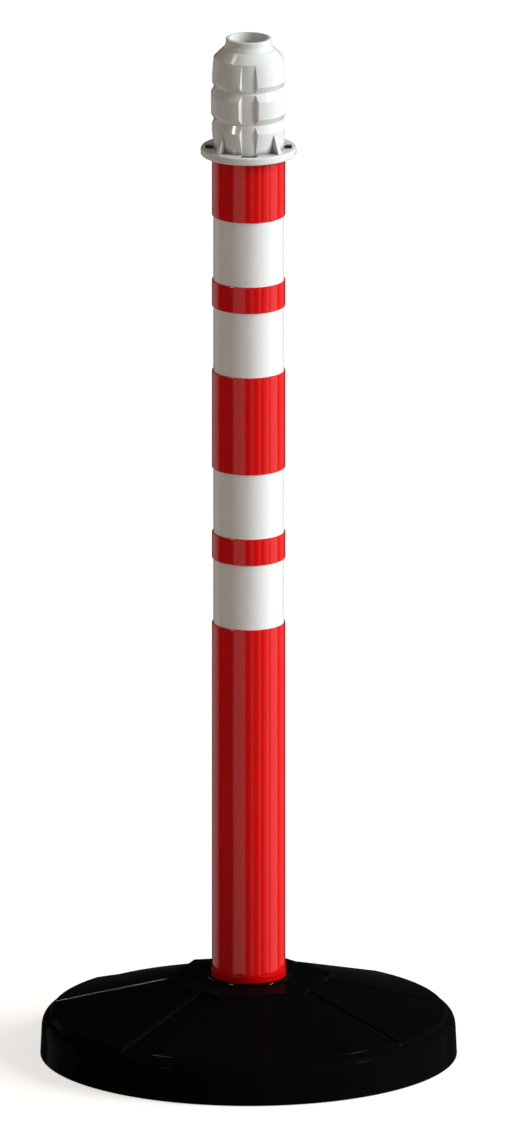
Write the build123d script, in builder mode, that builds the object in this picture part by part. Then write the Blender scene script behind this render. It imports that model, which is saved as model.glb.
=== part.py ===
"""Plastic chain stanchion: a ballasted round foot, a banded post and a chain head.

Millimetres, +Z up.  The origin is the centre of the foot on the floor.  The front is -Y.
Each piece is one solid (or one group of identical screws) in its own STEP file.
"""

import os
from math import cos, radians, sin, tan

from build123d import *

os.makedirs("parts", exist_ok=True)

# ---------------------------------------------------------------- driving dimensions

# Foot shell
RIM_BOTTOM_Z = 0.4
RIM_RADIUS = 198.0
RIM_SIDE_RADIUS = 196.8
RIM_SIDE_Z = 26.0
RIM_SHOULDER_RADIUS = 189.0
CONE_APEX_Z = 92.1
CONE_SLOPE = 0.284

# Raised parts of the foot: two wings and two low pads, every one a sector of the cone
WING_RISE = 3.5
WING_SPAN_DEG = 90
WING_START_DEGS = (-40, 140)
WING_TOP_RADIUS = 186.5
WING_FOOT_RADIUS = 195.9
WING_FOOT_Z = 27.2
PAD_RISE = 1.0
PAD_SPAN_DEG = 80
PAD_START_DEGS = (-120, 60)
PAD_TOP_RADIUS = 183.0
PAD_FOOT_RADIUS = 184.0
PAD_FOOT_Z = 38.8
SECTOR_INNER_RADIUS = 60.0
SECTOR_INNER_TOP_Z = 75.3
SECTOR_SINK = 4.0
WING_EDGE_ROUND = 1.6
WING_GROOVE_MIDDLE = (122.0, 6.5)
WING_GROOVE_TURN = 17.4
WING_GROOVE_LENGTH = 190.0
WING_GROOVE_WIDTH = 9.0
PAD_EDGE_ROUND = 0.5

# Hub of the foot and the socket in it
HUB_CORNER_RADIUS = 82.0
HUB_TURN_DEG = 10
HUB_TOP_Z = 75.5
HUB_BOTTOM_Z = 62.0
HUB_DRAFT_DEG = 12
HUB_CORNER_ROUND = 4.0
HUB_EDGE_ROUND = 3.0
SEAT_RADIUS = 38.5
SEAT_TOP_Z = 76.8
SOCKET_RADIUS = 30.08
SOCKET_FLOOR_Z = 12.0
SLEEVE_RADIUS = 34.5
CAVITY_RADIUS = 189.0
CAVITY_SIDE_Z = 24.0
CAVITY_SHOULDER_RADIUS = 182.0
ROOF_THICKNESS = 4.3
CAVITY_TOP_Z = 71.0

# Underside
PLATE_RADIUS = 191.0
PLATE_GAP = 0.6
PLATE_BOTTOM_Z = 2.0
PLATE_TOP_Z = 6.0
SCREW_COUNT = 6
SCREW_CIRCLE_RADIUS = 120.0
BOSS_RADIUS = 7.0
BOSS_TOP_Z = 55.0
SCREW_RADIUS = 2.1
SCREW_HOLE_RADIUS = 2.2
SCREW_HEAD_RADIUS = 4.4
SCREW_HEAD_HEIGHT = 2.3
SCREW_TIP_Z = 22.0
SCREW_HOLE_TOP_Z = 25.0
SCREW_DRIVE_RADIUS = 1.6
SCREW_DRIVE_DEPTH = 1.4
GRIP_COUNT = 6
GRIP_CIRCLE_RADIUS = 172.0
GRIP_RADIUS = 14.0
GRIP_THICKNESS = 3.0
GRIP_SEAT_GAP = 0.3
GRIP_EDGE_BREAK = 0.6
BALLAST_GAP = 0.6
BALLAST_BOTTOM_Z = 20.0

# Post
POST_RADIUS = 35.0
POST_BORE_RADIUS = 31.5
POST_BOTTOM_Z = 84.2
POST_TOP_Z = 883.8
BAND_SEAT_RADIUS = 33.3
BAND_RADIUS = 33.6
BAND_FILM = 0.02
BAND_HEIGHT = 63.6
BAND_BOTTOMS_Z = (424.1, 513.2, 671.9, 761.0)
BAND_END_GAP = 0.1
EDGE_BREAK = 0.4

# Foot plug of the post
COLLAR_RADIUS = 35.5
COLLAR_BOTTOM_Z = SEAT_TOP_Z
PLUG_RADIUS = 30.0
PLUG_BOTTOM_Z = 14.0
PLUG_SPIGOT_RADIUS = 31.45
PLUG_SPIGOT_TOP_Z = 132.0
PLUG_WALL = 3.5
PLUG_WEB_BOTTOM_Z = 76.0
PLUG_WEB_TOP_Z = 82.0
PLUG_LEAD_IN = 1.5
COLLAR_EDGE_ROUND = 0.8

# Chain head: the barrel's turned outline is given tier by tier as (radius, height)
FLANGE_RADIUS = 45.6
FLANGE_TOP_Z = 891.3
FLANGE_EDGE_ROUND = 1.8
SLOT_INNER_RADIUS = 33.6
SLOT_OUTER_RADIUS = 41.2
SLOT_WIDTH = 16.6
SLOT_CORNER = 2.5
POCKET_INNER_RADIUS = 36.6
POCKET_OUTER_RADIUS = 42.6
POCKET_DEPTH = 4.4
POCKET_SPAN_DEG = 46
FLUTE_FLOOR_RADIUS = 33.4
FLUTE_FLOOR_WIDTH = 14.0
FLUTE_OUTER_RADIUS = 39.0
SHOULDER_BOTTOM = (33.4, 979.6)
SHOULDER_TOP = (25.7, 987.5)
NECK_BOTTOM = (24.0, 988.2)
NECK_TOP = (21.8, 992.6)
RIM_OUTER_RADIUS = 21.7
UPPER_TIER = ((36.0, 957.6), (35.6, 962.2), (35.0, 969.0))
UPPER_GROOVE = (32.65, 951.3)
MIDDLE_TIER = ((37.0, 926.2), (37.2, 943.7))
LOWER_GROOVE = (32.8, 919.7)
LOWER_TIER = ((33.6, 891.3), (35.15, 903.7), (36.2, 911.7))
BARREL_EDGE_ROUND = 0.9
GUSSET_ANGLES_DEG = (45, 135, 225, 315)
GUSSET_THICKNESS = 4.0
GUSSET_TOP_Z = 909.3
GUSSET_FOOT_RADIUS = 42.8
NECK_BORE_RADIUS = 18.6
NECK_BORE_BOTTOM_Z = 982.0
RIM_TOP_Z = 998.3
HEAD_SPIGOT_RADIUS = 31.42
HEAD_SPIGOT_BOTTOM_Z = 838.8
HEAD_CAVITY_RADIUS = 28.4
HEAD_CAVITY_TOP_Z = 972.0
HEAD_LEAD_IN = 1.2
RIM_EDGE_ROUND = 1.0


def cone_z(radius, rise=0.0):
    """Height of the foot's conical top at a radius."""
    return CONE_APEX_Z + rise - CONE_SLOPE * radius


def radial_plane(angle_deg):
    """Upright plane through the Z axis: its x runs outward at the angle, its y upward."""
    turn = radians(angle_deg)
    return Plane(origin=(0, 0, 0), x_dir=(cos(turn), sin(turn), 0), z_dir=(sin(turn), -cos(turn), 0))


def finish(solid, name):
    """Label a finished piece and write its STEP file."""
    solid.label = name
    export_step(solid, f"parts/{name}.step")


# ---------------------------------------------------------------- foot shell


def make_cone_sector(span_deg, rise, top_radius, foot_radius, foot_z, edge_round):
    """Raised sector of the cone, starting at +X and turning towards +Y, with rounded edges."""
    inner_top_radius = (CONE_APEX_Z + rise - SECTOR_INNER_TOP_Z) / CONE_SLOPE
    with BuildPart() as sector:
        with BuildSketch(Plane.XZ):
            with BuildLine():
                Polyline(
                    (SECTOR_INNER_RADIUS, cone_z(SECTOR_INNER_RADIUS) - SECTOR_SINK),
                    (SECTOR_INNER_RADIUS, SECTOR_INNER_TOP_Z),
                    (inner_top_radius, SECTOR_INNER_TOP_Z),
                    (top_radius, cone_z(top_radius, rise)),
                    (foot_radius, foot_z),
                    (foot_radius - 2 * SECTOR_SINK, foot_z),
                    close=True,
                )
            make_face()
        revolve(axis=Axis.Z, revolution_arc=span_deg)
        long_edges = sector.edges().filter_by(GeomType.LINE).sort_by(SortBy.LENGTH)[-4:]
        rim_edges = sector.edges().filter_by(GeomType.CIRCLE).filter_by(
            lambda edge: abs(edge.radius - top_radius) < 0.01
        )
        fillet(long_edges.sort_by(Axis.Z)[-2:] + rim_edges, radius=edge_round)
    return sector.part


wing = make_cone_sector(
    WING_SPAN_DEG, WING_RISE, WING_TOP_RADIUS, WING_FOOT_RADIUS, WING_FOOT_Z, WING_EDGE_ROUND
)


def make_grooved_wing(start_deg, side):
    """The wing turned into place and parted by one straight groove. side: 1 for +X, -1 for -X."""
    groove_x, groove_y = WING_GROOVE_MIDDLE
    with BuildPart() as grooved:
        add(wing, rotation=(0, 0, start_deg))
        with BuildSketch(Plane.XY):
            with Locations((side * groove_x, groove_y)):
                Rectangle(WING_GROOVE_LENGTH, WING_GROOVE_WIDTH, rotation=side * WING_GROOVE_TURN)
        extrude(amount=CONE_APEX_Z, mode=Mode.SUBTRACT)
    return grooved.part


low_pad = make_cone_sector(PAD_SPAN_DEG, PAD_RISE, PAD_TOP_RADIUS, PAD_FOOT_RADIUS, PAD_FOOT_Z, PAD_EDGE_ROUND)

with BuildPart() as hub:
    # Six-sided hub with drafted flanks and a rounded top edge
    hub_height = HUB_TOP_Z - HUB_BOTTOM_Z
    with BuildSketch(Plane.XY.offset(HUB_BOTTOM_Z)) as hub_outline:
        RegularPolygon(
            HUB_CORNER_RADIUS + hub_height * tan(radians(HUB_DRAFT_DEG)), 6, rotation=HUB_TURN_DEG
        )
        fillet(hub_outline.vertices(), radius=HUB_CORNER_ROUND)
    extrude(amount=hub_height, taper=HUB_DRAFT_DEG)
    fillet(hub.edges().group_by(Axis.Z)[-1], radius=HUB_EDGE_ROUND)

with BuildPart() as base_shell:
    # Turned outer body: tapered rim, rounded shoulder, cone
    with BuildSketch(Plane.XZ):
        with BuildLine():
            rim_side = Line((RIM_RADIUS, RIM_BOTTOM_Z), (RIM_SIDE_RADIUS, RIM_SIDE_Z))
            shoulder = Spline(
                rim_side @ 1,
                (RIM_SHOULDER_RADIUS, cone_z(RIM_SHOULDER_RADIUS)),
                tangents=(rim_side % 1, (-1, CONE_SLOPE)),
            )
            cone_line = Line(shoulder @ 1, (SECTOR_INNER_RADIUS, cone_z(SECTOR_INNER_RADIUS)))
            Line(cone_line @ 1, (0, (cone_line @ 1).Y))
            Line((0, (cone_line @ 1).Y), (0, RIM_BOTTOM_Z))
            Line((0, RIM_BOTTOM_Z), rim_side @ 0)
        make_face()
    revolve(axis=Axis.Z)
    add(make_grooved_wing(WING_START_DEGS[0], 1))
    add(make_grooved_wing(WING_START_DEGS[1], -1))
    for start_deg in PAD_START_DEGS:
        add(low_pad, rotation=(0, 0, start_deg))

    # Hub, and on it the round seat of the post's collar
    add(hub.part)
    with BuildSketch(Plane.XY.offset(CAVITY_TOP_Z)):
        Circle(SEAT_RADIUS)
    extrude(amount=SEAT_TOP_Z - CAVITY_TOP_Z)

    # Recess for the base plate, and the cavity above it for the ballast
    with BuildSketch(Plane.XY.offset(RIM_BOTTOM_Z)):
        Circle(PLATE_RADIUS + PLATE_GAP)
    extrude(amount=PLATE_TOP_Z - RIM_BOTTOM_Z, mode=Mode.SUBTRACT)
    with BuildSketch(Plane.XZ):
        with BuildLine():
            Polyline(
                (0, PLATE_TOP_Z),
                (CAVITY_RADIUS, PLATE_TOP_Z),
                (CAVITY_RADIUS, CAVITY_SIDE_Z),
                (CAVITY_SHOULDER_RADIUS, cone_z(CAVITY_SHOULDER_RADIUS) - ROOF_THICKNESS),
                ((CONE_APEX_Z - ROOF_THICKNESS - CAVITY_TOP_Z) / CONE_SLOPE, CAVITY_TOP_Z),
                (0, CAVITY_TOP_Z),
                close=True,
            )
        make_face()
    revolve(axis=Axis.Z, mode=Mode.SUBTRACT)

    # Socket sleeve and screw bosses, standing on the base plate
    with BuildSketch(Plane.XY.offset(PLATE_TOP_Z)):
        Circle(SLEEVE_RADIUS)
    extrude(amount=CAVITY_TOP_Z - PLATE_TOP_Z)
    with BuildSketch(Plane.XY.offset(PLATE_TOP_Z)):
        with PolarLocations(SCREW_CIRCLE_RADIUS, SCREW_COUNT):
            Circle(BOSS_RADIUS)
    extrude(amount=BOSS_TOP_Z - PLATE_TOP_Z)
    with BuildSketch(Plane.XY.offset(SOCKET_FLOOR_Z)):
        Circle(SOCKET_RADIUS)
    extrude(amount=SEAT_TOP_Z - SOCKET_FLOOR_Z, mode=Mode.SUBTRACT)
    with BuildSketch(Plane.XY.offset(PLATE_TOP_Z)):
        with PolarLocations(SCREW_CIRCLE_RADIUS, SCREW_COUNT):
            Circle(SCREW_HOLE_RADIUS)
    extrude(amount=SCREW_HOLE_TOP_Z - PLATE_TOP_Z, mode=Mode.SUBTRACT)
    chamfer(
        base_shell.edges().filter_by(GeomType.CIRCLE).filter_by(
            lambda edge: abs(edge.radius - SOCKET_RADIUS) < 0.01
        ).sort_by(Axis.Z)[-1],
        length=0.8,
    )

finish(base_shell.part, "base_shell")

# ---------------------------------------------------------------- inside and under the foot

with BuildPart() as ballast:
    # Cast ring that fills the roof of the cavity, round the sleeve and the bosses
    roof_drop = ROOF_THICKNESS + BALLAST_GAP
    with BuildSketch(Plane.XZ):
        with BuildLine():
            Polyline(
                (SLEEVE_RADIUS + BALLAST_GAP, BALLAST_BOTTOM_Z),
                (CAVITY_RADIUS - BALLAST_GAP, BALLAST_BOTTOM_Z),
                (CAVITY_RADIUS - BALLAST_GAP, CAVITY_SIDE_Z - BALLAST_GAP),
                (CAVITY_SHOULDER_RADIUS - BALLAST_GAP, cone_z(CAVITY_SHOULDER_RADIUS) - roof_drop),
                ((CONE_APEX_Z - roof_drop - CAVITY_TOP_Z) / CONE_SLOPE, CAVITY_TOP_Z - BALLAST_GAP),
                (SLEEVE_RADIUS + BALLAST_GAP, CAVITY_TOP_Z - BALLAST_GAP),
                close=True,
            )
        make_face()
    revolve(axis=Axis.Z)
    with BuildSketch(Plane.XY.offset(BALLAST_BOTTOM_Z)):
        with PolarLocations(SCREW_CIRCLE_RADIUS, SCREW_COUNT):
            Circle(BOSS_RADIUS + BALLAST_GAP)
    extrude(amount=CAVITY_TOP_Z - BALLAST_BOTTOM_Z, mode=Mode.SUBTRACT)

finish(ballast.part, "ballast")

with BuildPart() as base_plate:
    with BuildSketch(Plane.XY.offset(PLATE_BOTTOM_Z)):
        Circle(PLATE_RADIUS)
    extrude(amount=PLATE_TOP_Z - PLATE_BOTTOM_Z)
    with BuildSketch(Plane.XY.offset(PLATE_BOTTOM_Z)):
        with PolarLocations(GRIP_CIRCLE_RADIUS, GRIP_COUNT):
            Circle(GRIP_RADIUS + GRIP_SEAT_GAP)
    extrude(amount=GRIP_THICKNESS - PLATE_BOTTOM_Z, mode=Mode.SUBTRACT)
    with Locations(Plane.XY.offset(PLATE_BOTTOM_Z).rotated((180, 0, 0))):
        with PolarLocations(SCREW_CIRCLE_RADIUS, SCREW_COUNT):
            CounterSinkHole(
                radius=SCREW_HOLE_RADIUS,
                counter_sink_radius=SCREW_HEAD_RADIUS + 0.1,
                depth=PLATE_TOP_Z - PLATE_BOTTOM_Z,
            )

finish(base_plate.part, "base_plate")

with BuildPart() as base_screws:
    # Countersunk screw on the +X axis, then its copies round the circle
    with BuildSketch(Plane.XZ):
        with BuildLine():
            Polyline(
                (SCREW_CIRCLE_RADIUS, PLATE_BOTTOM_Z),
                (SCREW_CIRCLE_RADIUS + SCREW_HEAD_RADIUS, PLATE_BOTTOM_Z),
                (SCREW_CIRCLE_RADIUS + SCREW_RADIUS, PLATE_BOTTOM_Z + SCREW_HEAD_HEIGHT),
                (SCREW_CIRCLE_RADIUS + SCREW_RADIUS, SCREW_TIP_Z - SCREW_RADIUS),
                (SCREW_CIRCLE_RADIUS, SCREW_TIP_Z),
                close=True,
            )
        make_face()
    revolve(axis=Axis((SCREW_CIRCLE_RADIUS, 0, 0), (0, 0, 1)))
    with BuildSketch(Plane.XY.offset(PLATE_BOTTOM_Z)):
        with Locations((SCREW_CIRCLE_RADIUS, 0)):
            RegularPolygon(SCREW_DRIVE_RADIUS, 6)
    extrude(amount=SCREW_DRIVE_DEPTH, mode=Mode.SUBTRACT)
    first_screw = base_screws.part
    for number in range(1, SCREW_COUNT):
        add(first_screw, rotation=(0, 0, number * 360 / SCREW_COUNT))

finish(base_screws.part, "base_screws")


def make_grip_pad(angle_deg):
    """Round rubber pad seated in the base plate, standing on the floor."""
    with BuildPart() as grip_pad:
        with BuildSketch(Plane.XY):
            with PolarLocations(GRIP_CIRCLE_RADIUS, 1, start_angle=angle_deg):
                Circle(GRIP_RADIUS)
        extrude(amount=GRIP_THICKNESS)
        chamfer(grip_pad.edges().group_by(Axis.Z)[0], length=GRIP_EDGE_BREAK)
    return grip_pad.part


for number in range(GRIP_COUNT):
    finish(make_grip_pad(number * 360 / GRIP_COUNT), f"grip_pad_{number + 1}")

# ---------------------------------------------------------------- post

with BuildPart() as foot_plug:
    # Collar on the foot's seat, hollow plug down into the socket, hollow spigot up into the tube
    with BuildSketch(Plane.XZ) as plug_section:
        with BuildLine():
            Polyline(
                (0, PLUG_WEB_BOTTOM_Z),
                (PLUG_RADIUS - PLUG_WALL, PLUG_WEB_BOTTOM_Z),
                (PLUG_RADIUS - PLUG_WALL, PLUG_BOTTOM_Z),
                (PLUG_RADIUS - PLUG_LEAD_IN, PLUG_BOTTOM_Z),
                (PLUG_RADIUS, PLUG_BOTTOM_Z + PLUG_LEAD_IN),
                (PLUG_RADIUS, COLLAR_BOTTOM_Z),
                (COLLAR_RADIUS, COLLAR_BOTTOM_Z),
                (COLLAR_RADIUS, POST_BOTTOM_Z),
                (PLUG_SPIGOT_RADIUS, POST_BOTTOM_Z),
                (PLUG_SPIGOT_RADIUS, PLUG_SPIGOT_TOP_Z - PLUG_LEAD_IN),
                (PLUG_SPIGOT_RADIUS - PLUG_LEAD_IN, PLUG_SPIGOT_TOP_Z),
                (PLUG_SPIGOT_RADIUS - PLUG_WALL, PLUG_SPIGOT_TOP_Z),
                (PLUG_SPIGOT_RADIUS - PLUG_WALL, PLUG_WEB_TOP_Z),
                (0, PLUG_WEB_TOP_Z),
                close=True,
            )
        make_face()
        fillet(plug_section.vertices().sort_by(Axis.X)[-2:], radius=COLLAR_EDGE_ROUND)
    revolve(axis=Axis.Z)

finish(foot_plug.part, "foot_plug")

with BuildPart() as post_tube:
    with BuildSketch(Plane.XY.offset(POST_BOTTOM_Z)):
        Circle(POST_RADIUS)
        Circle(POST_BORE_RADIUS, mode=Mode.SUBTRACT)
    extrude(amount=POST_TOP_Z - POST_BOTTOM_Z)
    for band_bottom_z in BAND_BOTTOMS_Z:
        with BuildSketch(Plane.XY.offset(band_bottom_z)):
            Circle(POST_RADIUS + 1)
            Circle(BAND_SEAT_RADIUS, mode=Mode.SUBTRACT)
        extrude(amount=BAND_HEIGHT, mode=Mode.SUBTRACT)
    chamfer(
        post_tube.edges().filter_by(GeomType.CIRCLE).filter_by(
            lambda edge: abs(edge.radius - POST_RADIUS) < 0.01
        ),
        length=EDGE_BREAK,
    )

finish(post_tube.part, "post_tube")


def make_band(bottom_z):
    """Reflective sleeve in its recess of the tube."""
    with BuildPart() as band:
        with BuildSketch(Plane.XY.offset(bottom_z + BAND_END_GAP)):
            Circle(BAND_RADIUS)
            Circle(BAND_SEAT_RADIUS + BAND_FILM, mode=Mode.SUBTRACT)
        extrude(amount=BAND_HEIGHT - 2 * BAND_END_GAP)
    return band.part


for number, band_bottom_z in enumerate(BAND_BOTTOMS_Z):
    finish(make_band(band_bottom_z), f"reflective_band_{number + 1}")

# ---------------------------------------------------------------- chain head

with BuildPart() as head:
    # Turned barrel of three tiers, with the shoulder, neck and rim above it
    with BuildSketch(Plane.XZ) as barrel_section:
        with BuildLine():
            lower_tier = Spline(*LOWER_TIER)
            middle_tier = Line(*MIDDLE_TIER)
            upper_tier = Spline(*UPPER_TIER, SHOULDER_BOTTOM)
            Polyline(lower_tier @ 1, LOWER_GROOVE, middle_tier @ 0)
            Polyline(middle_tier @ 1, UPPER_GROOVE, upper_tier @ 0)
            Polyline(
                upper_tier @ 1,
                SHOULDER_TOP,
                NECK_BOTTOM,
                NECK_TOP,
                (RIM_OUTER_RADIUS, RIM_TOP_Z),
                (0, RIM_TOP_Z),
                (0, FLANGE_TOP_Z),
                lower_tier @ 0,
            )
        make_face()
        outer_corners = barrel_section.vertices().filter_by_position(
            Axis.Y, FLANGE_TOP_Z + 1, NECK_TOP[1] + 1
        )
        fillet(outer_corners, radius=BARREL_EDGE_ROUND)
        rim_corner = barrel_section.vertices().filter_by_position(Axis.Y, RIM_TOP_Z - 0.1, RIM_TOP_Z + 0.1)
        fillet(rim_corner.sort_by(Axis.X)[-1], radius=RIM_EDGE_ROUND)
    revolve(axis=Axis.Z)

    # Four flutes with sloping sides, down to the flute floor's radius
    floor_half = FLUTE_FLOOR_WIDTH / 2
    spread = FLUTE_OUTER_RADIUS - FLUTE_FLOOR_RADIUS
    with BuildSketch(Plane.XY.offset(FLANGE_TOP_Z)):
        with PolarLocations(0, 4):
            Polygon(
                (FLUTE_FLOOR_RADIUS - 3, floor_half - 3),
                (FLUTE_OUTER_RADIUS, floor_half + spread),
                (FLUTE_OUTER_RADIUS, -floor_half - spread),
                (FLUTE_FLOOR_RADIUS - 3, -floor_half + 3),
                align=None,
            )
        Circle(FLUTE_FLOOR_RADIUS, mode=Mode.SUBTRACT)
    extrude(amount=SHOULDER_BOTTOM[1] - FLANGE_TOP_Z, mode=Mode.SUBTRACT)

    # Flange with rounded edges
    with BuildSketch(Plane.XZ) as flange_section:
        with Locations((0, POST_TOP_Z)):
            Rectangle(FLANGE_RADIUS, FLANGE_TOP_Z - POST_TOP_Z, align=(Align.MIN, Align.MIN))
        fillet(flange_section.vertices().sort_by(Axis.X)[-2:], radius=FLANGE_EDGE_ROUND)
    revolve(axis=Axis.Z)

    # Upright gussets between the flutes
    for angle_deg in GUSSET_ANGLES_DEG:
        with BuildSketch(radial_plane(angle_deg)):
            with BuildLine():
                Polyline(
                    (FLUTE_FLOOR_RADIUS - 2, FLANGE_TOP_Z - 1),
                    (GUSSET_FOOT_RADIUS, FLANGE_TOP_Z - 1),
                    (LOWER_TIER[2][0], GUSSET_TOP_Z),
                    (FLUTE_FLOOR_RADIUS - 2, GUSSET_TOP_Z),
                    close=True,
                )
            make_face()
        extrude(amount=GUSSET_THICKNESS / 2, both=True)

    # Chain slots through the flange, and lightening pockets under it between them
    with BuildSketch(Plane.XY.offset(POST_TOP_Z)):
        with PolarLocations((SLOT_INNER_RADIUS + SLOT_OUTER_RADIUS) / 2, 4):
            RectangleRounded(SLOT_OUTER_RADIUS - SLOT_INNER_RADIUS, SLOT_WIDTH, SLOT_CORNER)
    extrude(amount=FLANGE_TOP_Z - POST_TOP_Z, mode=Mode.SUBTRACT)
    for angle_deg in GUSSET_ANGLES_DEG:
        with BuildSketch(radial_plane(angle_deg - POCKET_SPAN_DEG / 2)):
            with Locations((POCKET_INNER_RADIUS, POST_TOP_Z)):
                Rectangle(
                    POCKET_OUTER_RADIUS - POCKET_INNER_RADIUS,
                    POCKET_DEPTH,
                    align=(Align.MIN, Align.MIN),
                )
        revolve(axis=Axis.Z, revolution_arc=POCKET_SPAN_DEG, mode=Mode.SUBTRACT)

    # Spigot that fits the tube, and the hollow inside
    with BuildSketch(Plane.XY.offset(HEAD_SPIGOT_BOTTOM_Z)):
        Circle(HEAD_SPIGOT_RADIUS)
    extrude(amount=POST_TOP_Z - HEAD_SPIGOT_BOTTOM_Z)
    chamfer(head.edges().group_by(Axis.Z)[0], length=HEAD_LEAD_IN)
    with BuildSketch(Plane.XZ):
        with BuildLine():
            Polyline(
                (0, HEAD_SPIGOT_BOTTOM_Z),
                (HEAD_CAVITY_RADIUS, HEAD_SPIGOT_BOTTOM_Z),
                (HEAD_CAVITY_RADIUS, HEAD_CAVITY_TOP_Z),
                (NECK_BORE_RADIUS, NECK_BORE_BOTTOM_Z),
                (NECK_BORE_RADIUS, RIM_TOP_Z),
                (0, RIM_TOP_Z),
                close=True,
            )
        make_face()
    revolve(axis=Axis.Z, mode=Mode.SUBTRACT)

finish(head.part, "head")
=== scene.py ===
"""Looks of the plastic chain stanchion: moulded plastics, soft studio light, pale floor. Metres, Z up."""

import math

import bpy
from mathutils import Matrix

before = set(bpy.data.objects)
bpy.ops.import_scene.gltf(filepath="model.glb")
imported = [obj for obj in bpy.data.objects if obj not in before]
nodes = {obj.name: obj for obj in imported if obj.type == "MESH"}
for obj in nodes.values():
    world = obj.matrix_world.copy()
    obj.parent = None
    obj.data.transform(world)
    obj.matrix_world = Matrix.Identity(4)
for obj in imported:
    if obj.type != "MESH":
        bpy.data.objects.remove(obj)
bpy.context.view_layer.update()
scene = bpy.context.scene
scene.view_settings.view_transform = "Standard"

# ---------------------------------------------------------------- the photograph's view
IMAGE_HEIGHT = 1126
METRES_PER_PIXEL = 0.00095
CAMERA_ELEVATION = math.radians(15.0)
CAMERA_DISTANCE = 5.0
VIEW_CENTRE = (0.00845, 0.0, 0.4815)


# ---------------------------------------------------------------- node helpers
class Tree:
    """Short calls for building one node tree."""

    def __init__(self, tree):
        self.tree = tree
        tree.nodes.clear()

    def add(self, kind, inputs=None, **settings):
        node = self.tree.nodes.new(kind)
        for key, value in settings.items():
            setattr(node, key, value)
        for key, value in (inputs or {}).items():
            self.put(node.inputs[key], value)
        return node

    def put(self, socket, value):
        if isinstance(value, bpy.types.NodeSocket):
            self.tree.links.new(value, socket)
        else:
            socket.default_value = value

    def math(self, operation, *values):
        node = self.tree.nodes.new("ShaderNodeMath")
        node.operation = operation
        for socket, value in zip(node.inputs, values):
            self.put(socket, value)
        return node.outputs[0]

    def mix(self, factor, first, second, blend="MIX"):
        node = self.tree.nodes.new("ShaderNodeMix")
        node.data_type = "RGBA"
        node.blend_type = blend
        self.put(node.inputs[0], factor)
        self.put(node.inputs[6], first)
        self.put(node.inputs[7], second)
        return node.outputs[2]

    def span(self, value, low, high, to_low, to_high, smooth=True):
        node = self.add(
            "ShaderNodeMapRange",
            {"Value": value, "From Min": low, "From Max": high, "To Min": to_low, "To Max": to_high},
            interpolation_type="SMOOTHSTEP" if smooth else "LINEAR",
        )
        return node.outputs[0]

    def noise(self, vector, scale, detail=3.0, roughness=0.5):
        node = self.add(
            "ShaderNodeTexNoise",
            {"Vector": vector, "Scale": scale, "Detail": detail, "Roughness": roughness},
        )
        return node.outputs[0]

    def stretched(self, vector, scale):
        node = self.add("ShaderNodeVectorMath", {0: vector, 1: scale}, operation="MULTIPLY")
        return node.outputs[0]


def rgba(colour):
    return (*colour, 1.0)


# ---------------------------------------------------------------- plastics
# Painted shade in corners and recesses: how far off a corner is felt, in m, and the share of colour left
# there
SHADE_REACH = 0.009
CORNER_SHADE_TONE = (0.16, 0.15, 0.14)

# Walls of the chain slots in the head's flange, darkened with painted shade
SLOT_SHADE = 0.11
SLOT_INNER_RADIUS = 0.0334
SLOT_OUTER_RADIUS = 0.0440
SLOT_SKIN = 0.0006
FLANGE_TOP = 0.8913
FLANGE_BOTTOM = 0.8838

# Turn between a rounded edge and its flat face (as a cosine) that counts as edge, and as face
EDGE_COSINE = 0.90
FACE_COSINE = 0.995


def slot_walls(t, place):
    """1 on the faces that stand between the two faces of the head's flange, 0 elsewhere."""
    height = t.add("ShaderNodeSeparateXYZ", {0: place}).outputs[2]
    flat = t.stretched(place, (1.0, 1.0, 0.0))
    radius = t.add("ShaderNodeVectorMath", {0: flat}, operation="LENGTH").outputs["Value"]
    outside = t.math("GREATER_THAN", radius, SLOT_INNER_RADIUS)
    inside = t.math("LESS_THAN", radius, SLOT_OUTER_RADIUS)
    below = t.span(height, FLANGE_TOP - 2 * SLOT_SKIN, FLANGE_TOP - SLOT_SKIN, 1.0, 0.0)
    above = t.math("GREATER_THAN", height, FLANGE_BOTTOM + SLOT_SKIN)
    ring = t.math("MULTIPLY", outside, inside)
    return t.math("MULTIPLY", ring, t.math("MULTIPLY", below, above))


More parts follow.
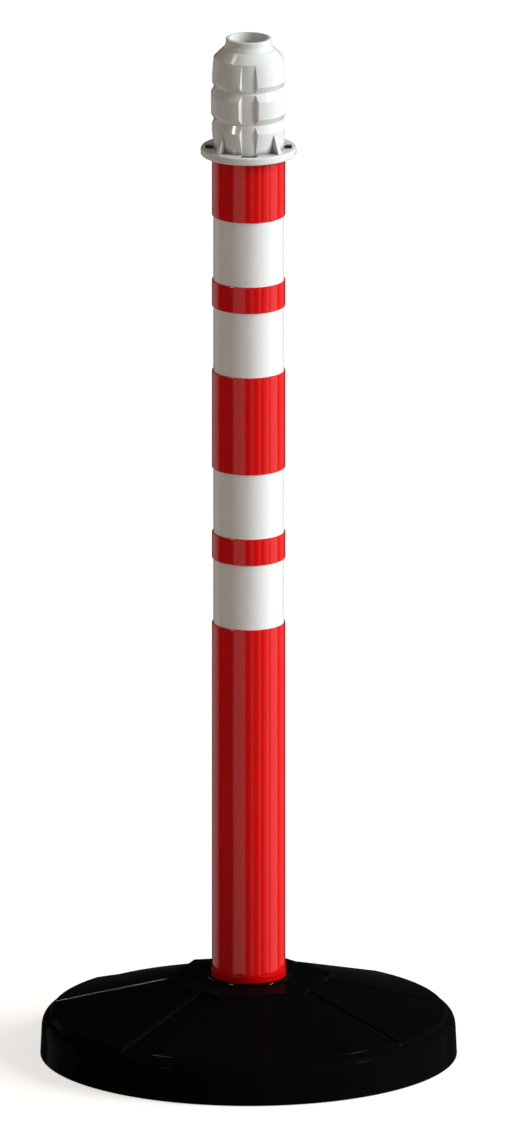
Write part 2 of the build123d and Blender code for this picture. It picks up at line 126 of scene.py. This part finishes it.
def plastic(
    name,
    colour,
    rough,
    grain,
    speckle,
    scuff=0.0,
    streaks=0.0,
    specular=0.5,
    wave=0.0,
    corner_shade=0.0,
    edge=0.0,
    edge_polish=0.0,
    painted_slot_shade=False,
):
    """Moulded plastic.

    grain: (size in 1/m, bump in m). speckle: share of colour change. scuff: roughness added in rubbed
    patches. streaks: fine lines along Z, as an extruded tube has. wave: slow sink of the face, in m.
    corner_shade: share of colour lost to painted shade in corners and recesses.
    edge: radius of the moulded edges, in m. edge_polish: specular level where those edges are rubbed
    bright.
    painted_slot_shade: painted shade on the walls of the chain slots.
    """
    material = bpy.data.materials.new(name)
    material.use_nodes = True
    t = Tree(material.node_tree)
    place = t.add("ShaderNodeTexCoord").outputs["Object"]
    cloud = t.noise(place, 9.0, 4.0)
    mottle = t.noise(place, 140.0, 3.0)
    tone = t.math("ADD", t.math("MULTIPLY", cloud, 0.6), t.math("MULTIPLY", mottle, 0.4))
    dark = rgba([c * (1.0 - speckle) for c in colour])
    light = rgba([min(1.0, c * (1.0 + speckle)) for c in colour])
    base = t.mix(t.span(tone, 0.35, 0.65, 0.0, 1.0), dark, light)
    # Painted shade: the colour darkens towards corners and recesses, where other faces lie close
    if corner_shade:
        corner = t.add("ShaderNodeAmbientOcclusion", {"Distance": SHADE_REACH}, samples=8, only_local=True)
        painted_corner_shade = t.span(corner.outputs["AO"], 0.35, 0.85, corner_shade, 0.0)
        base = t.mix(painted_corner_shade, base, rgba([c * shade for c, shade in zip(colour, CORNER_SHADE_TONE)]))
    # Painted shade: the walls of the chain slots are darkened to a small share of the colour
    if painted_slot_shade:
        base = t.mix(slot_walls(t, place), base, rgba([c * SLOT_SHADE for c in colour]))
    rubbed = t.span(t.noise(place, 26.0, 6.0, 0.62), 0.52, 0.72, 0.0, 1.0)
    hair = t.noise(t.stretched(place, (1.0, 1.0, 0.02)), 420.0, 2.0)
    roughness = t.math("ADD", t.math("MULTIPLY", mottle, 0.04), rough - 0.02)
    roughness = t.math("ADD", roughness, t.math("MULTIPLY", rubbed, scuff))
    if streaks:
        roughness = t.math("ADD", roughness, t.math("MULTIPLY", t.math("SUBTRACT", hair, 0.5), streaks))
    size, depth = grain
    fine = t.noise(place, size, 2.0)
    last = t.add("ShaderNodeBump", {"Height": fine, "Strength": 1.0, "Distance": depth})
    if edge:
        rounded = t.add("ShaderNodeBevel", {"Radius": edge}, samples=6).outputs[0]
        t.put(last.inputs["Normal"], rounded)
    if edge_polish:
        face = t.add("ShaderNodeNewGeometry").outputs["Normal"]
        turned = t.add("ShaderNodeVectorMath", {0: rounded, 1: face}, operation="DOT_PRODUCT")
        specular = t.span(turned.outputs["Value"], EDGE_COSINE, FACE_COSINE, edge_polish, specular)
    if wave:
        slow = t.noise(place, 22.0, 1.0)
        last = t.add(
            "ShaderNodeBump",
            {"Height": slow, "Strength": 1.0, "Distance": wave, "Normal": last.outputs[0]},
        )
    if streaks:
        last = t.add(
            "ShaderNodeBump",
            {"Height": hair, "Strength": 1.0, "Distance": 0.00002, "Normal": last.outputs[0]},
        )
    shader = t.add(
        "ShaderNodeBsdfPrincipled",
        {
            "Base Color": base,
            "Roughness": roughness,
            "Normal": last.outputs[0],
            "Specular IOR Level": specular,
        },
    )
    t.add("ShaderNodeOutputMaterial", {"Surface": shader.outputs[0]})
    return material


def dress(names, material):
    for name in names:
        slots = nodes[name].data.materials
        slots.clear()
        slots.append(material)


# ---------------------------------------------------------------- materials
RED = (0.69, 0.0035, 0.003)
PLUG_RED = (0.50, 0.0015, 0.0015)
BAND_WHITE = (0.80, 0.795, 0.775)
HEAD_WHITE = (0.72, 0.715, 0.70)
FOOT_BLACK = (0.0022, 0.0022, 0.0023)

red_tube = plastic("red_tube", RED, 0.10, (900.0, 0.000002), 0.03, 0.04, 0.05)
red_plug = plastic("red_plug", PLUG_RED, 0.25, (900.0, 0.000004), 0.03, 0.05, specular=0.12)
white_band = plastic("white_band", BAND_WHITE, 0.16, (1400.0, 0.000002), 0.012, 0.03)
white_head = plastic(
    "white_head",
    HEAD_WHITE,
    0.14,
    (1100.0, 0.000003),
    0.018,
    0.05,
    wave=0.00005,
    corner_shade=0.75,
    edge=0.0007,
    painted_slot_shade=True,
)
black_foot = plastic(
    "black_foot",
    FOOT_BLACK,
    0.11,
    (1000.0, 0.000002),
    0.10,
    0.05,
    specular=0.003,
    edge=0.0014,
    edge_polish=0.45,
)
black_matt = plastic("black_matt", (0.012, 0.012, 0.0125), 0.55, (700.0, 0.00004), 0.12, 0.08)
rubber = plastic("grip_rubber", (0.018, 0.018, 0.018), 0.72, (520.0, 0.00008), 0.16, 0.05, specular=0.3)

dress(["post_tube"], red_tube)
dress(["foot_plug"], red_plug)
dress([f"reflective_band_{i}" for i in range(1, 5)], white_band)
dress(["head"], white_head)
dress(["base_shell"], black_foot)
dress(["base_plate"], black_matt)
dress([f"grip_pad_{i}" for i in range(1, 7)], rubber)


def concrete():
    material = bpy.data.materials.new("ballast_concrete")
    material.use_nodes = True
    t = Tree(material.node_tree)
    place = t.add("ShaderNodeTexCoord").outputs["Object"]
    sand = t.noise(place, 420.0, 5.0, 0.6)
    stones = t.add("ShaderNodeTexVoronoi", {"Vector": place, "Scale": 130.0}).outputs["Distance"]
    grey = t.mix(t.span(sand, 0.35, 0.65, 0.0, 1.0), rgba((0.24, 0.235, 0.22)), rgba((0.46, 0.45, 0.42)))
    pebble = t.mix(t.span(stones, 0.15, 0.4, 0.55, 0.0), grey, rgba((0.16, 0.15, 0.14)))
    height = t.math("ADD", sand, t.math("MULTIPLY", stones, -0.7))
    bump = t.add("ShaderNodeBump", {"Height": height, "Strength": 1.0, "Distance": 0.0006})
    shader = t.add(
        "ShaderNodeBsdfPrincipled",
        {"Base Color": pebble, "Roughness": t.span(sand, 0.3, 0.7, 0.82, 0.95), "Normal": bump.outputs[0]},
    )
    t.add("ShaderNodeOutputMaterial", {"Surface": shader.outputs[0]})
    return material


def screw_steel():
    material = bpy.data.materials.new("screw_steel")
    material.use_nodes = True
    t = Tree(material.node_tree)
    place = t.add("ShaderNodeTexCoord").outputs["Object"]
    turned = t.noise(t.stretched(place, (1.0, 1.0, 6.0)), 900.0, 3.0)
    spots = t.noise(place, 260.0, 4.0)
    zinc = t.mix(t.span(spots, 0.4, 0.65, 0.0, 1.0), rgba((0.55, 0.56, 0.58)), rgba((0.42, 0.43, 0.45)))
    bump = t.add("ShaderNodeBump", {"Height": turned, "Strength": 1.0, "Distance": 0.00001})
    shader = t.add(
        "ShaderNodeBsdfPrincipled",
        {
            "Base Color": zinc,
            "Roughness": t.span(turned, 0.3, 0.7, 0.26, 0.42),
            "Metallic": 1.0,
            "Normal": bump.outputs[0],
        },
    )
    t.add("ShaderNodeOutputMaterial", {"Surface": shader.outputs[0]})
    return material


dress(["ballast"], concrete())
dress(["base_screws"], screw_steel())

# ---------------------------------------------------------------- studio: world
# Soft upright panels stand all round the object. Angles are seen from above, 0 towards the camera and
# 90 to its right: (middle, width, strength).
PANELS = (
    (-130.0, 40.0, 0.42),
    (-30.0, 38.0, 0.55),
    (11.0, 8.0, 0.30),
    (35.5, 6.0, 0.55),
    (54.0, 7.0, 0.40),
    (63.5, 7.0, 1.15),
    (88.0, 30.0, 0.95),
    (128.0, 30.0, 0.28),
)
PANEL_EDGE = 1.2
PANEL_TOP = (math.sin(math.radians(6.0)), math.sin(math.radians(24.0)))
ROOM_GLOSS = 0.03
ROOM_FILL = (0.29, 0.24, 0.205)


def turn(angle):
    """Angle in degrees as a place on the 0 to 1 ramp."""
    return angle / 360.0 + 0.5


def studio_world():
    world = bpy.data.worlds.new("studio")
    scene.world = world
    world.use_nodes = True
    t = Tree(world.node_tree)
    way = t.add("ShaderNodeSeparateXYZ", {0: t.add("ShaderNodeTexCoord").outputs["Generated"]})
    angle = t.math("ARCTAN2", way.outputs[0], t.math("MULTIPLY", way.outputs[1], -1.0))
    place = t.math("ADD", t.math("DIVIDE", angle, 2.0 * math.pi), 0.5)
    ramp = t.add("ShaderNodeValToRGB", {"Fac": place})
    stops = []
    for middle, width, strength in PANELS:
        stops += [
            (turn(middle - width / 2.0 - PANEL_EDGE), 0.0),
            (turn(middle - width / 2.0 + PANEL_EDGE), strength),
            (turn(middle + width / 2.0 - PANEL_EDGE), strength),
            (turn(middle + width / 2.0 + PANEL_EDGE), 0.0),
        ]
    elements = ramp.color_ramp.elements
    while len(elements) > 1:
        elements.remove(elements[-1])
    for number, (position, level) in enumerate(stops):
        stop = elements[0] if number == 0 else elements.new(position)
        stop.position = position
        stop.color = (level, level, level, 1.0)
    height = t.span(way.outputs[2], PANEL_TOP[0], PANEL_TOP[1], 1.0, 0.0)
    panels = t.math("MULTIPLY", t.add("ShaderNodeRGBToBW", {0: ramp.outputs[0]}).outputs[0], height)
    gloss = t.math("ADD", panels, ROOM_GLOSS)
    path = t.add("ShaderNodeLightPath")
    fill = t.add("ShaderNodeBackground", {"Color": rgba(ROOM_FILL), "Strength": 1.0})
    seen = t.add("ShaderNodeBackground", {"Color": rgba((1.0, 1.0, 1.0)), "Strength": gloss})
    white = t.add("ShaderNodeBackground", {"Color": rgba((1.0, 1.0, 1.0)), "Strength": 1.0})
    glossy = path.outputs["Is Glossy Ray"]
    lit = t.add("ShaderNodeMixShader", {0: glossy, 1: fill.outputs[0], 2: seen.outputs[0]})
    clear = t.math("MAXIMUM", path.outputs["Is Camera Ray"], path.outputs["Is Transmission Ray"])
    both = t.add("ShaderNodeMixShader", {0: clear, 1: lit.outputs[0], 2: white.outputs[0]})
    t.add("ShaderNodeOutputWorld", {"Surface": both.outputs[0]})


studio_world()

# ---------------------------------------------------------------- studio: floor
FLOOR_HALF = 12.0
FLOOR_GAP = 0.0003
FLOOR_GLOW = 0.68
FLOOR_TONE = (0.50, 0.465, 0.43)


def pale_floor():
    mesh = bpy.data.meshes.new("floor")
    corners = [(-1, -1), (1, -1), (1, 1), (-1, 1)]
    mesh.from_pydata([(x * FLOOR_HALF, y * FLOOR_HALF, -FLOOR_GAP) for x, y in corners], [], [(0, 1, 2, 3)])
    floor = bpy.data.objects.new("floor", mesh)
    scene.collection.objects.link(floor)
    material = bpy.data.materials.new("floor_pale")
    material.use_nodes = True
    t = Tree(material.node_tree)
    place = t.add("ShaderNodeTexCoord").outputs["Object"]
    tone = t.mix(
        t.span(t.noise(place, 3.0, 5.0), 0.3, 0.7, 0.0, 1.0),
        rgba([c * 0.985 for c in FLOOR_TONE]),
        rgba(FLOOR_TONE),
    )
    paint = t.add("ShaderNodeBsdfDiffuse", {"Color": tone})
    glow = t.add("ShaderNodeEmission", {"Color": rgba((1.0, 0.995, 0.985)), "Strength": FLOOR_GLOW})
    lifted = t.add("ShaderNodeAddShader", {0: paint.outputs[0], 1: glow.outputs[0]})
    path = t.add("ShaderNodeLightPath")
    clear = t.add("ShaderNodeBsdfTransparent")
    seen = t.math("MAXIMUM", path.outputs["Is Camera Ray"], path.outputs["Is Transmission Ray"])
    shown = t.add("ShaderNodeMixShader", {0: seen, 1: paint.outputs[0], 2: lifted.outputs[0]})
    below = t.add("ShaderNodeNewGeometry").outputs["Backfacing"]
    unseen = t.math("MAXIMUM", path.outputs["Is Glossy Ray"], below)
    both = t.add("ShaderNodeMixShader", {0: unseen, 1: shown.outputs[0], 2: clear.outputs[0]})
    t.add("ShaderNodeOutputMaterial", {"Surface": both.outputs[0]})
    mesh.materials.append(material)
    return floor


pale_floor()


# ---------------------------------------------------------------- studio: lamps
def sun(name, angle, elevation, strength, colour, size, only_glint=False):
    """A far, wide lamp. angle is seen from above, 0 from the camera's side and 90 from its right.

    only_glint: the lamp makes highlights and no diffuse light. Every other lamp does the opposite.
    """
    data = bpy.data.lights.new(name, "SUN")
    data.energy = strength
    data.color = colour
    data.angle = math.radians(size)
    lamp = bpy.data.objects.new(name, data)
    a, e = math.radians(angle), math.radians(elevation)
    lamp.rotation_euler = (math.pi / 2.0 - e, 0.0, a)
    lamp.visible_glossy = only_glint
    lamp.visible_diffuse = not only_glint
    scene.collection.objects.link(lamp)
    return lamp


sun("key_right", 78.5, 25.0, 4.4, (0.90, 1.0, 1.04), 40.0)
sun("glint_right", 78.0, 38.0, 0.9, (0.95, 1.0, 1.04), 9.0, only_glint=True)
sun("glint_left", -50.0, 26.0, 0.6, (1.0, 0.97, 0.92), 7.0, only_glint=True)
sun("glint_high", -86.0, 58.0, 0.12, (1.0, 0.98, 0.95), 8.0, only_glint=True)

# ---------------------------------------------------------------- camera
camera_data = bpy.data.cameras.new("camera")
camera_data.type = "ORTHO"
camera_data.ortho_scale = IMAGE_HEIGHT * METRES_PER_PIXEL
camera = bpy.data.objects.new("camera", camera_data)
camera.location = (
    VIEW_CENTRE[0],
    VIEW_CENTRE[1] - CAMERA_DISTANCE * math.cos(CAMERA_ELEVATION),
    VIEW_CENTRE[2] + CAMERA_DISTANCE * math.sin(CAMERA_ELEVATION),
)
camera.rotation_euler = (math.pi / 2.0 - CAMERA_ELEVATION, 0.0, 0.0)
scene.collection.objects.link(camera)
scene.camera = camera
